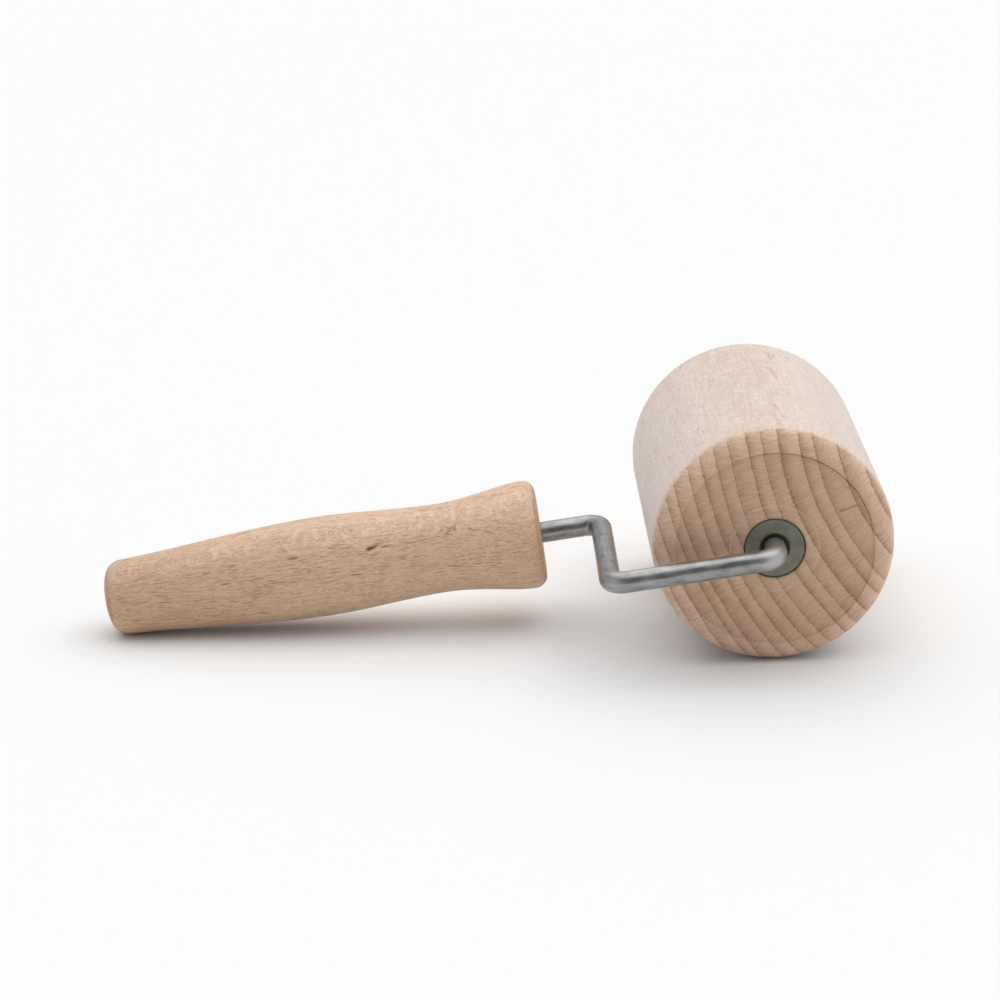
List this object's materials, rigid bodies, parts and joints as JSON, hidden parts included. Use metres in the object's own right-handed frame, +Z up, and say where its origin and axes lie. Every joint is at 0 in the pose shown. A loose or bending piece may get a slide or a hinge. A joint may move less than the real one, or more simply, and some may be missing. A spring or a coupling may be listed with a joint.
{
  "type": "hand roller",
  "caption": "Hand roller with a turned beech barrel on a bent steel wire arm and a turned beech handle; the barrel spins freely on plastic bushes.",
  "frame": {"origin": "bottom centre of the bounding box, with the roller put down on its barrel and on the handle's butt", "axes": "+X level from the handle's butt towards the barrel, +Y along the barrel's axle away from the wire's front run, +Z up"},
  "size_m": [0.1862, 0.0956, 0.056],
  "materials": {
    "handle_wood": "sanded bare beech",
    "roller_wood": "fine-turned bare beech",
    "steel_wire": "satin zinc-plated drawn wire",
    "bush_plastic": "moulded translucent grey-green nylon",
    "zinc_steel": "bright zinc-plated pressing"
  },
  "bodies": {
    "frame": {"handle": "handle_wood", "rod": "steel_wire", "washer": "zinc_steel", "push_on_clip": "zinc_steel"},
    "barrel": {"roller": "roller_wood", "near_bush": "bush_plastic", "far_bush": "bush_plastic"}
  },
  "joints": [
    {"name": "roller_spin", "type": "hinge", "parent": "frame", "child": "barrel", "pos_m": [0.06506, 0.0029, 0.028], "axis": [0, 1, 0], "continuous": true}
  ]
}
